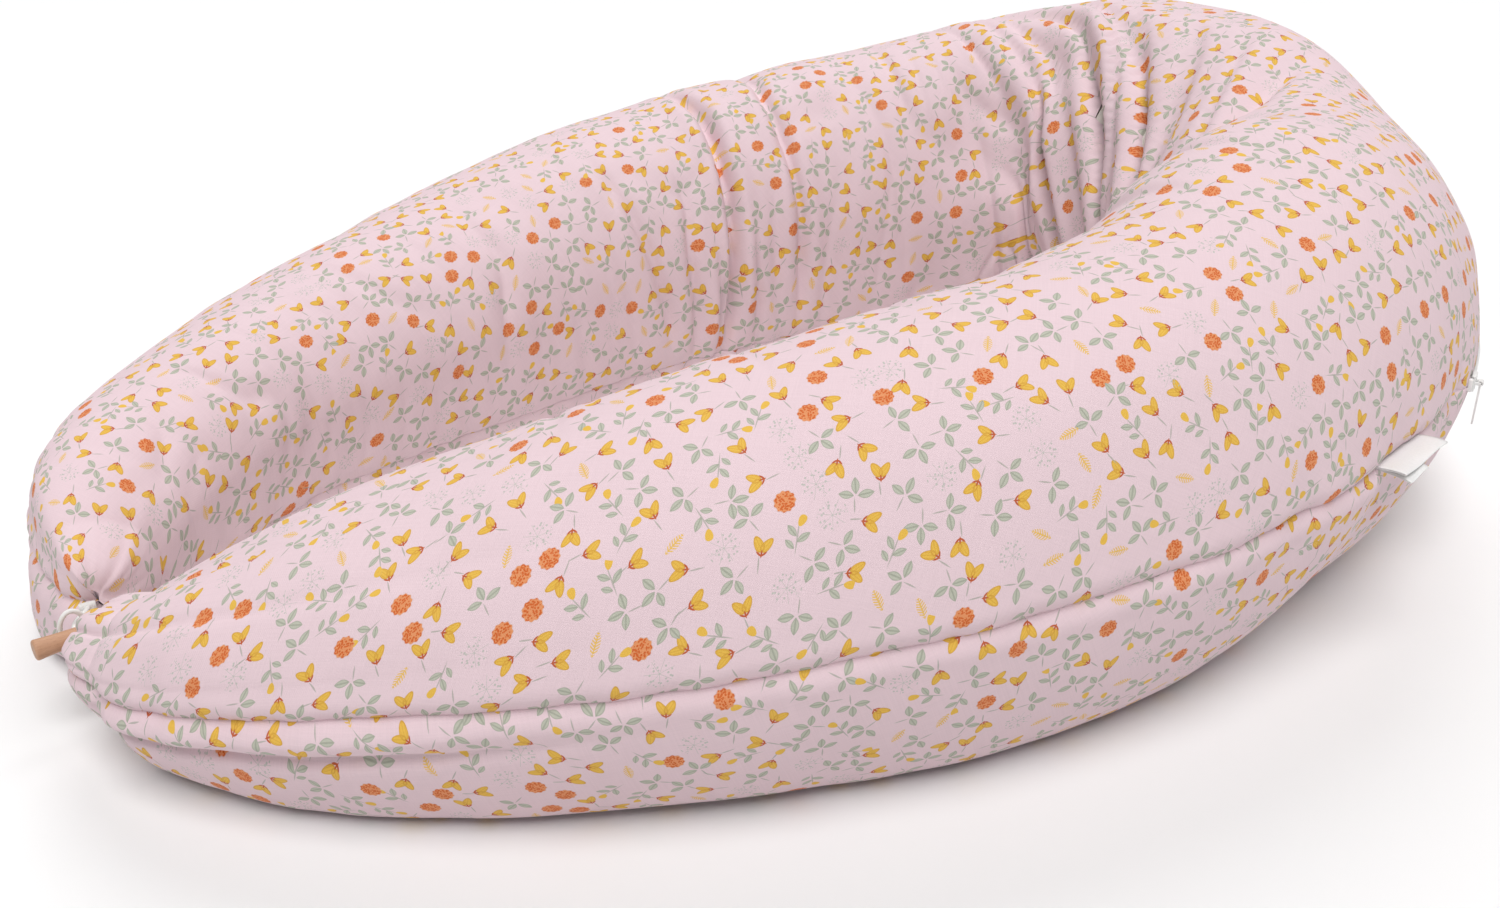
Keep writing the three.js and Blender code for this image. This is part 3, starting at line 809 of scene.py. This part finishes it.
def bud_pair(p):
    """Two buds on one stalk, with darker rims and streaks."""
    left, right = ((-2.2, 2.4), 0.56), ((2.5, 2.0), -0.66)
    eggs = [egg(p, *left, 5.2, 9.4, -0.22), egg(p, *right, 4.9, 9.0, -0.22)]
    body = largest([inside(e) for e in eggs])
    rim = largest([inside(e, 5.0) - inside(e * 1.55, 3.0) for e in eggs])
    across = [oriented(p, *place, 6.2, 9.4)[0] for place in (left, right)]
    lines = [calc("LESS_THAN", calc("ABSOLUTE", calc("SINE", a * 6.5)), 0.34) for a in across]
    streaks = largest([line * inside(e * 1.35, 4.0) for line, e in zip(lines, eggs)])
    rim = calc("MAXIMUM", rim, streaks * 0.75)
    cup = [pointed(p, (x, -2.6), angle, 1.1, 4.4)[0] for x, angle in ((-1.4, 0.9), (0.1, 0.0), (1.5, -0.9))]
    calyx = largest([inside(e, 4.0) for e in cup])
    stem = inside(pointed(p, (-0.6, -8.2), 0.1, 0.9, 9.5)[0], 2.5)
    return body, rim, calyx, stem


def leaf_spray(p, leaves, stem_length, stem_centre):
    edges = [pointed(p, *leaf) for leaf in leaves]
    body = largest([inside(e) for e, _ in edges])
    veins = largest([inside(s * 5.0, 1.4) * inside(e) for e, s in edges])
    rims = largest([inside(e, 5.0) - inside(e * 1.28, 5.0) for e, _ in edges])
    stem = inside(pointed(p, stem_centre, 0.12, 0.9, stem_length)[0], 2.5)
    return body, calc("MAXIMUM", veins, rims), stem


def motif_group():
    """One motif, picked by a random number, out of buds, leaf sprays, flowers, ferns and fine sprigs."""
    tree = bpy.data.node_groups.new("printed_motif", "ShaderNodeTree")
    for name, kind, way in (
        ("Point", "Vector", "INPUT"), ("Pick", "Float", "INPUT"), ("Other", "Float", "INPUT"),
        ("Color", "Color", "OUTPUT"), ("Cover", "Float", "OUTPUT"),
    ):
        tree.interface.new_socket(name, in_out=way, socket_type="NodeSocket" + kind)
    entry, leave = tree.nodes.new("NodeGroupInput"), tree.nodes.new("NodeGroupOutput")
    p, pick, other = (Value(entry.outputs[k]) for k in range(3))

    body, rim, calyx, stem = bud_pair(p)
    is_bud = calc("LESS_THAN", pick, 0.34)
    petals, petal_rims, cups = body * is_bud, rim * is_bud, calyx * is_bud
    bud_stem = stem * is_bud

    trio = [(polar(5.6, a), a, w, n) for a, w, n in ((0.15, 4.6, 9.6), (1.45, 4.4, 8.8), (-1.35, 4.8, 9.4))]
    spray, lines, stem = leaf_spray(p, trio, 9.0, (-0.4, -5.0))
    is_trio = between(pick, 0.34, 0.60)
    pairs = [((-3.6, 3.4), 0.9, 3.8, 8.2), ((3.5, 1.0), -0.8, 4.0, 8.6), ((-3.2, -3.6), 1.0, 3.4, 7.2)]
    branch, branch_lines, branch_stem = leaf_spray(p, pairs, 19.0, (0.2, 0.0))
    top = egg(p, (0.6, 9.4), -0.25, 4.4, 6.6)
    is_branch = between(pick, 0.60, 0.78)
    petals = calc("MAXIMUM", petals, inside(top) * is_branch)
    leaves = calc("MAXIMUM", spray * is_trio, branch * is_branch)
    leaf_lines = calc("MAXIMUM", lines * is_trio, branch_lines * is_branch)
    stems = largest([bud_stem, stem * is_trio, branch_stem * is_branch])

    distance = vector_calc("LENGTH", p, scalar=True)
    u, v, _ = split(p)
    angle = calc("ARCTAN2", v, u)
    radius = calc("MULTIPLY_ADD", calc("GREATER_THAN", other, 0.5), 2.0, 4.0)
    scallop = calc("MULTIPLY_ADD", calc("SINE", angle * 11.0), 0.05, 1.0)
    disc = inside(distance / (radius * scallop), 9.0)
    dash = calc("LESS_THAN", cell_distance(p, 0.78), 0.50)
    is_flower = between(pick, 0.78, 0.85)
    flower, dashes = disc * is_flower, dash * is_flower

    side = calc("ABSOLUTE", u)
    taper = calc("MULTIPLY_ADD", v * v, -0.055, 2.7)
    phase = calc("FRACT", calc("MULTIPLY_ADD", side, -0.42, v * 0.60))
    frond = calc("LESS_THAN", side, taper) * calc("LESS_THAN", phase, 0.50)
    spine = inside(pointed(p, (0, 0), 0, 0.9, 14.5)[0], 2.5)
    is_fern = between(pick, 0.85, 0.92)
    fern = calc("MAXIMUM", frond * calc("GREATER_THAN", taper, 0.3), spine) * is_fern

    dots = calc("LESS_THAN", cell_distance(p, 0.46), 0.30)
    twig = calc("LESS_THAN", calc("ABSOLUTE", calc("SINE", angle * 3.5)) * distance, 0.42)
    reach = calc("LESS_THAN", distance, 8.6)
    is_sprig = calc("GREATER_THAN", pick, 0.92)
    sprig = calc("MAXIMUM", dots, twig) * reach * is_sprig

    colour = mix_colour(leaves, SPRIG, LEAF)
    colour = mix_colour(leaf_lines * 0.65, colour, LEAF_DARK)
    colour = mix_colour(stems * 0.8, colour, LEAF_DARK)
    colour = mix_colour(petals, colour, PETAL)
    colour = mix_colour(petal_rims * 0.6, colour, PETAL_DARK)
    colour = mix_colour(cups, colour, CALYX)
    colour = mix_colour(flower, colour, ORANGE_PALE)
    colour = mix_colour(flower * dashes, colour, ORANGE)
    colour = mix_colour(fern, colour, PETAL)
    feed(leave.inputs[0], colour)
    cover = [leaves, stems * 0.7, petals, cups, flower, fern * 0.9, sprig * 0.8]
    feed(leave.inputs[1], largest(cover))
    return tree


def printed_lattice(fabric, pitch, shift, seed, group):
    """Motifs about the middles of square cells, each moved and turned at random."""
    start = (shift + seed * 7, shift + seed * 3, 0)
    place = vector_calc("MULTIPLY_ADD", fabric, (1 / pitch, 1 / pitch, 0), start)
    cell = vector_calc("FLOOR", place)
    white = add_node("TexWhiteNoise", cell)
    white.noise_dimensions = "3D"
    feed(white.inputs["Vector"], vector_calc("ADD", cell, (0.37, 0.61, seed * 1.31)))
    random = Value(white.outputs["Color"])
    pick = Value(white.outputs["Value"])
    within = vector_calc("SUBTRACT", vector_calc("SUBTRACT", place, cell), (0.5, 0.5, 0))
    wander = vector_calc("MULTIPLY", vector_calc("SUBTRACT", random, (0.5, 0.5, 0.5)), (0.26, 0.26, 0))
    local = vector_calc("SCALE", vector_calc("SUBTRACT", within, wander), scale=pitch / MOTIF_SIZE)
    rotate = add_node("VectorRotate", local)
    rotate.rotation_type = "Z_AXIS"
    feed(rotate.inputs["Vector"], local)
    other, _, turn = split(random)
    feed(rotate.inputs["Angle"], turn * TAU)
    node = add_node("Group", pick)
    node.node_tree = group
    for socket, value in zip(node.inputs, (Value(rotate.outputs[0]), pick, other)):
        feed(socket, value)
    return Value(node.outputs[0]), Value(node.outputs[1])


def new_material(name, **shader):
    material = bpy.data.materials.new(name)
    material.use_nodes = True
    principled = material.node_tree.nodes["Principled BSDF"]
    for key, value in shader.items():
        principled.inputs[key.replace("_", " ")].default_value = value
    return material, material.node_tree, principled


def add_bump(principled, height, strength, distance):
    bump = add_node("Bump", height)
    for name, value in (("Strength", strength), ("Distance", distance), ("Height", height)):
        feed(bump.inputs[name], value)
    feed(principled.inputs["Normal"], Value(bump.outputs[0]))


def woven(fabric, thread):
    """Over-and-under height of a plain weave, fabric in millimetres."""
    u, v = (value * (math.pi / thread) for value in split(fabric)[:2])
    return calc("SINE", u) * calc("SINE", v)


def printed_cotton():
    material, tree, principled = new_material(
        "printed_cotton", Roughness=0.85, Sheen_Weight=0.05, Sheen_Roughness=0.45, Specular_IOR_Level=0.3,
    )
    uv = tree.nodes.new("ShaderNodeUVMap")
    uv.uv_map = "print"
    fabric = vector_calc("SCALE", Value(uv.outputs[0]), scale=UNIT)
    group = motif_group()
    colour = PINK
    slubs = [
        noise_node(vector_calc("MULTIPLY", fabric, stretch), 1.0, 3.0)
        for stretch in ((1.6, 0.035, 0), (0.035, 1.6, 0))
    ]
    shade = calc("MULTIPLY_ADD", slubs[0] + slubs[1], 0.10, 0.90)
    for shift, seed in ((0.0, 1), (0.5, 2)):
        motif, cover = printed_lattice(fabric, PRINT_PITCH, shift, seed, group)
        colour = mix_colour(cover, colour, motif)
    grey = add_node("CombineColor", shade)
    for socket in grey.inputs:
        feed(socket, shade)
    colour = mix_colour(1.0, colour, Value(grey.outputs[0]), "MULTIPLY")
    feed(principled.inputs["Base Color"], colour)
    height = woven(fabric, 0.55) * 0.35 + (slubs[0] + slubs[1])
    add_bump(principled, height, 0.22, 0.0004)
    return material


def plain_cloth(name, colour, thread, roughness=0.85, sheen=0.2):
    material, tree, principled = new_material(
        name, Roughness=roughness, Sheen_Weight=sheen, Sheen_Roughness=0.5, Specular_IOR_Level=0.3,
    )
    fabric = vector_calc("SCALE", object_place(tree), scale=UNIT)
    wave = [calc("SINE", value * (math.pi / thread)) for value in split(fabric)]
    height = wave[0] * wave[1] + wave[2] * wave[0]
    slub = noise_node(fabric, 0.8, 3.0)
    dark = tuple(c * 0.88 for c in colour[:3]) + (1.0,)
    feed(principled.inputs["Base Color"], mix_colour(slub, colour, dark))
    add_bump(principled, height * 0.5 + slub, 0.3, thread * 0.0003)
    return material


COTTON_PRINT = printed_cotton()
CASE_CLOTH = plain_cloth("case_cloth", srgb(240, 236, 226), 0.8)
CORD_CLOTH = plain_cloth("cord_cloth", srgb(240, 239, 236), 0.5)
for piece in (cover_upper, cover_lower):
    piece.data.materials.append(COTTON_PRINT)
inner_cushion.data.materials.append(CASE_CLOTH)
toggle_cord.data.materials.append(CORD_CLOTH)
closure_loop.data.materials.append(CORD_CLOTH)


# ---- Toggle ----

TOGGLE_HALF, TOGGLE_END, TOGGLE_WAIST, TOGGLE_EDGE = 0.0225, 0.0056, 0.0047, 0.0013


def toggle_profile():
    """Distances along the toggle's axis and radii there: flat ends, rounded edges and a slight waist."""
    face = TOGGLE_END - TOGGLE_EDGE
    end = [(-TOGGLE_HALF, face * f) for f in (0.02, 0.35, 0.7)]
    for t in np.linspace(0, math.pi / 2, 8):
        end.append((-TOGGLE_HALF + TOGGLE_EDGE * (1 - math.cos(t)), face + TOGGLE_EDGE * math.sin(t)))
    middle = []
    for along in np.linspace(-1, 1, 60)[1:-1]:
        radius = TOGGLE_WAIST + (TOGGLE_END - TOGGLE_WAIST) * along ** 2
        middle.append((along * (TOGGLE_HALF - TOGGLE_EDGE), radius))
    return end + middle + [(-x, r) for x, r in end[::-1]]


def add_toggle():
    sides = 48
    angles = TAU * np.arange(sides) / sides
    points = []
    for x, r in toggle_profile():
        wobble = 1 + 0.006 * np.sin(3 * angles + x * 160) + 0.004 * np.sin(5 * angles + 2)
        ring = [np.full(sides, x), r * wobble * np.cos(angles), r * wobble * np.sin(angles)]
        points.append(np.stack(ring, 1))
    shape = np.concatenate(points) + np.array(TOGGLE_PLACE)
    piece = new_mesh("toggle_wood", shape, closed_tube_faces(len(points), sides, flip=True))
    material, tree, principled = new_material("beech", Roughness=0.5, Specular_IOR_Level=0.4)
    place = object_place(tree)
    rings = noise_node(vector_calc("MULTIPLY", place, (70, 900, 900)), 1.0, 4.0, 0.6)
    fleck = noise_node(vector_calc("MULTIPLY", place, (500, 4200, 4200)), 1.0, 1.0)
    fleck = calc("MULTIPLY_ADD", fleck, 6.0, -3.7, clamp=True)
    colour = mix_colour(rings, srgb(172, 124, 92), srgb(206, 164, 134))
    colour = mix_colour(fleck * 0.5, colour, srgb(134, 88, 60))
    feed(principled.inputs["Base Color"], colour)
    add_bump(principled, rings - fleck * 0.6, 0.35, 0.0003)
    declare(piece, "toggle", "toggle_wood", "wooden_toggle", material=material)


add_toggle()


# ---- Tacks at the tips ----

TACK_WRAPS, TACK_LENGTH, TACK_DEEP, TACK_HIGH = 11, 0.0086, 0.0019, 0.0024
TACK_SQUARENESS = 0.7


def add_tack(name, node, tip_row, ahead_sign):
    """Whipping threads wrapped over the cord's ends."""
    low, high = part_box(node)
    middle = np.array((low + high) / 2)
    out = rows[tip_row, 2:4]
    along = np.array([out[0], out[1], 0])
    away = np.array([-out[1], out[0], 0]) * ahead_sign
    up = np.array([0, 0, 1.0])
    count, sides = TACK_WRAPS * 5, 22
    turns = TAU * np.arange(sides) / sides
    points = []
    for i in range(count + 1):
        f = i / count
        bulge = 0.5 + 0.5 * math.cos(TAU * f * TACK_WRAPS)
        size = 1 - 0.16 * (2 * f - 1) ** 6 - 0.10 * bulge
        a = np.sign(np.cos(turns)) * np.abs(np.cos(turns)) ** TACK_SQUARENESS * TACK_DEEP * size
        b = np.sign(np.sin(turns)) * np.abs(np.sin(turns)) ** TACK_SQUARENESS * TACK_HIGH * size
        centre = middle + along * (f - 0.5) * TACK_LENGTH
        points.append(centre + np.outer(a, away) + np.outer(b, up))
    piece = new_mesh(name, np.concatenate(points), closed_tube_faces(count + 1, sides))
    declare(piece, "pillow", "cord_cotton", node, material=CORD_CLOTH)


add_tack("loop_tack", "closure_loop_tack", 0, -1)
add_tack("toggle_tack", "toggle_cord_tack", -1, 1)


# ---- Seam threads ----

SEAM_CLOTH = plain_cloth("seam_cloth", srgb(226, 202, 213), 0.6)
SEAM_RADIUS, SEAM_SINK = 0.0009, 0.0010
outer_border = (upper_shape[0][:, 0] + lower_shape[0][:, 0]) / 2
inner_border = (upper_shape[0][:, -1] + lower_shape[0][:, -1]) / 2


def add_seam(name, node, line):
    declare(tube(name, line, SEAM_RADIUS, sides=8), "pillow", "seam_cotton", node, material=SEAM_CLOTH)


def seam_lines():
    """The outer seam before and after the zip, and the inner seam, a little inside the cloth."""
    sink = np.pad(rows[:, 2:4], ((0, 0), (0, 1))) * SEAM_SINK
    zip_rows = np.where(zip_open[:, 0] > 0.5)[0]
    outer, inner = outer_border - sink, inner_border + sink
    return outer[6:zip_rows[0] + 2], outer[zip_rows[-1] - 2:-6], inner[12:-12]


front_line, back_line, inner_line = seam_lines()
add_seam("seam_outer_front", "outer_seam_front", front_line)
add_seam("seam_outer_back", "outer_seam_back", back_line)
add_seam("seam_inner", "inner_seam", inner_line)


# ---- Zip ----

def nylon():
    material, tree, principled = new_material("zip_nylon", Roughness=0.38, Specular_IOR_Level=0.5)
    grain = noise_node(object_place(tree), 900.0)
    colour = mix_colour(grain, srgb(244, 243, 241), srgb(226, 225, 224))
    feed(principled.inputs["Base Color"], colour)
    add_bump(principled, grain, 0.1, 0.0002)
    return material


TAPE_CLOTH = plain_cloth("zip_tape_cloth", srgb(236, 235, 234), 0.7)
ZIP_NYLON = nylon()
TAPE_TAIL = 0.024  # the tapes run on past the stops into the seam, in radians
TAPE_RIBS, TAPE_STEPS, TAPE_WIDTH, TAPE_THICKNESS = 14, 220, 0.0095, 0.0004
TOOTH_PITCH, TOOTH_WIDTH, TOOTH_DEPTH = 0.00150, 0.00044, 0.00036
# a tooth's bent wire: metres out of the tapes and millimetres from the zip's middle
TOOTH_ARC = [
    (-0.0006, 2.9), (0.0003, 3.0), (0.0011, 2.5), (0.0014, 1.6), (0.0014, 0.4), (0.0011, -0.35), (0.0002, -0.5),
]


def zip_point(angle, outwards, height):
    radius = ZIP_RADIUS + outwards
    return (CROWN[0] + radius * math.cos(angle), CROWN[1] + radius * math.sin(angle), SEAM_HEIGHT + height)


def add_tape(word, side):
    """A woven tape: flat ribs run along it, under the cover's border."""
    outline = []
    for k in range(TAPE_RIBS + 1):
        f = k / TAPE_RIBS
        out = -0.0009 - 0.0012 * smoothstep(0.3, 0.6, f) + 0.00006 * (k % 2)
        outline.append((out, side * (0.0005 + TAPE_WIDTH * f)))
    section = outline + [(o - TAPE_THICKNESS, h) for o, h in outline[::-1]]
    reach = np.linspace(ZIP_START - TAPE_TAIL, ZIP_END + TAPE_TAIL, TAPE_STEPS)
    points = [zip_point(a, o, h) for a in reach for o, h in section]
    piece = new_mesh(f"zip_tape_{word}_woven", points, closed_tube_faces(TAPE_STEPS, len(section)))
    declare(piece, "pillow", "zip_tape", f"zip_tape_{word}", material=TAPE_CLOTH)


def add_coil(word, side):
    """One half of the closed coil: a tooth for every turn of the nylon, half a pitch off its neighbour's."""
    ring = 6
    tooth_faces = closed_tube_faces(len(TOOTH_ARC), ring)
    points, faces = [], []
    for i in range(int((ZIP_END - ZIP_START) * ZIP_RADIUS / TOOTH_PITCH)):
        angle = ZIP_START + (i + 0.5 + 0.25 * side) * TOOTH_PITCH / ZIP_RADIUS
        faces += [[len(points) + k for k in face] for face in tooth_faces]
        for out, mm in TOOTH_ARC:
            for t in (TAU * k / ring for k in range(ring)):
                across = angle + TOOTH_WIDTH * math.cos(t) / ZIP_RADIUS
                points.append(zip_point(across, out + TOOTH_DEPTH * math.sin(t), side * (mm * 0.001)))
    piece = new_mesh(f"zip_coil_{word}_teeth", points, faces)
    declare(piece, "pillow", "zip_plastic", f"zip_coil_{word}", material=ZIP_NYLON)


for word, side in (("upper", 1), ("lower", -1)):
    add_tape(word, side)
    add_coil(word, side)


def baked(piece):
    """The piece with its modifiers worked into its mesh."""
    graph = bpy.context.evaluated_depsgraph_get()
    mesh = bpy.data.meshes.new_from_object(piece.evaluated_get(graph))
    piece.modifiers.clear()
    piece.data = mesh
    mesh.shade_smooth()


def bevelled(name, node, width, body):
    """A CAD solid with rounded edges."""
    piece = link(bpy.data.objects.new(name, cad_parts[node].data.copy()))
    piece.data.materials.clear()
    weld = piece.modifiers.new("weld", "WELD")
    weld.merge_threshold = TINY
    bevel = piece.modifiers.new("bevel", "BEVEL")
    bevel.width = width
    bevel.segments = 3
    bevel.angle_limit = 0.7
    baked(piece)
    declare(piece, body, "zip_plastic", node, material=ZIP_NYLON)


bevelled("zip_slider_body", "zip_slider", 0.00035, "zip_slider")
bevelled("zip_pull", "zip_pull_tab", 0.0003, "zip_pull")
bevelled("zip_stop_lower", "zip_stop_start", 0.0006, "pillow")
bevelled("zip_stop_upper", "zip_stop_end", 0.0006, "pillow")


# ---- Labels ----

SATIN = plain_cloth("label_satin_cloth", srgb(246, 245, 244), 0.35, roughness=0.42, sheen=0.1)
SEWN_IN = 0.0025
LAYER_GAP, RIBBON = 0.00035, 0.00030  # half the room between the layers, and the ribbon's thickness
LABEL_COLUMNS = 27


def folded_ribbon(depth):
    """Down the upper layer, round the fold and back up the lower one: distances from the seam and heights."""
    straight = depth - LAYER_GAP
    path = [(d, LAYER_GAP) for d in np.linspace(-SEWN_IN, straight, 16)]
    for t in np.linspace(0, math.pi, 9)[1:-1]:
        path.append((straight + LAYER_GAP * math.sin(t), LAYER_GAP * math.cos(t)))
    return path + [(d, -LAYER_GAP) for d in np.linspace(straight, -SEWN_IN, 16)]


def add_label(name, node, run, width, depth, droop, height, curl):
    """A ribbon folded once and sewn into the outer seam, with its fold outside."""
    length = running_length(outer_border)
    middle = np.interp(run, centre_run[:, 0], length)

    def at_seam(distance):
        return np.array([np.interp(middle + distance, length, outer_border[:, k]) for k in range(3)])

    along = at_seam(width / 2) - at_seam(-width / 2)
    along /= np.linalg.norm(along)
    outwards = np.array([along[1], -along[0], 0])
    path = folded_ribbon(depth)
    points = []
    for d, layer in path:
        free = min(max(d / depth, 0), 1)
        for x in np.linspace(-0.5, 0.5, LABEL_COLUMNS):
            root = at_seam(x * width) * (1 - free) + (at_seam(0) + along * x * width) * free
            down = droop + (curl * free ** 2 + 0.0007 * math.sin(x * 7 + d * 160) * free) / depth
            forward = math.cos(down) * d + math.sin(down) * layer
            sink = -math.sin(down) * d + math.cos(down) * layer
            points.append(root + outwards * forward + np.array([0, 0, height + sink]))
    piece = new_mesh(name, points, grid_faces(len(path), LABEL_COLUMNS), closed=False)
    shell = piece.modifiers.new("thickness", "SOLIDIFY")
    shell.thickness = RIBBON
    shell.offset = 0
    baked(piece)
    declare(piece, "pillow", "label_satin", node, material=SATIN)


add_label("brand_label_blank", "brand_label", 0.650, 0.052, 0.018, -0.12, 0.0005, 0.0016)
add_label("care_label_blank", "care_label", 0.640, 0.024, 0.020, 0.06, -0.0006, 0.0016)


# ---- Floor and light ----

FLOOR_HALF = 45


def add_floor():
    corners = [(x * FLOOR_HALF, y * FLOOR_HALF, 0) for x, y in ((-1, -1), (1, -1), (1, 1), (-1, 1))]
    floor = new_mesh("floor", corners, [[0, 1, 2, 3]], closed=False)
    material, _, principled = new_material("pale_floor", Roughness=0.9, Specular_IOR_Level=0.1)
    feed(principled.inputs["Base Color"], (0.86, 0.86, 0.86, 1))
    floor.data.materials.append(material)
    floor.location.z = -FLOOR_GAP


def add_sun(name, toward, strength, softness):
    data = bpy.data.lights.new(name, "SUN")
    data.energy = strength
    data.angle = math.radians(softness)
    light = link(bpy.data.objects.new(name, data))
    light.rotation_euler = (-Vector(toward)).to_track_quat("-Z", "Y").to_euler()


def add_studio(strength):
    """An even white surrounding."""
    world = bpy.data.worlds.new("studio")
    world.use_nodes = True
    background = world.node_tree.nodes["Background"]
    background.inputs[0].default_value = (1, 1, 1, 1)
    background.inputs[1].default_value = strength
    bpy.context.scene.world = world
    bpy.context.scene.view_settings.view_transform = "Standard"


add_floor()
add_sun("back_key", (0.60, 0.70, 1.10), 1.15, 35)
add_sun("front_fill", (-0.34, -0.52, 1.40), 2.43, 38)
add_studio(0.20)
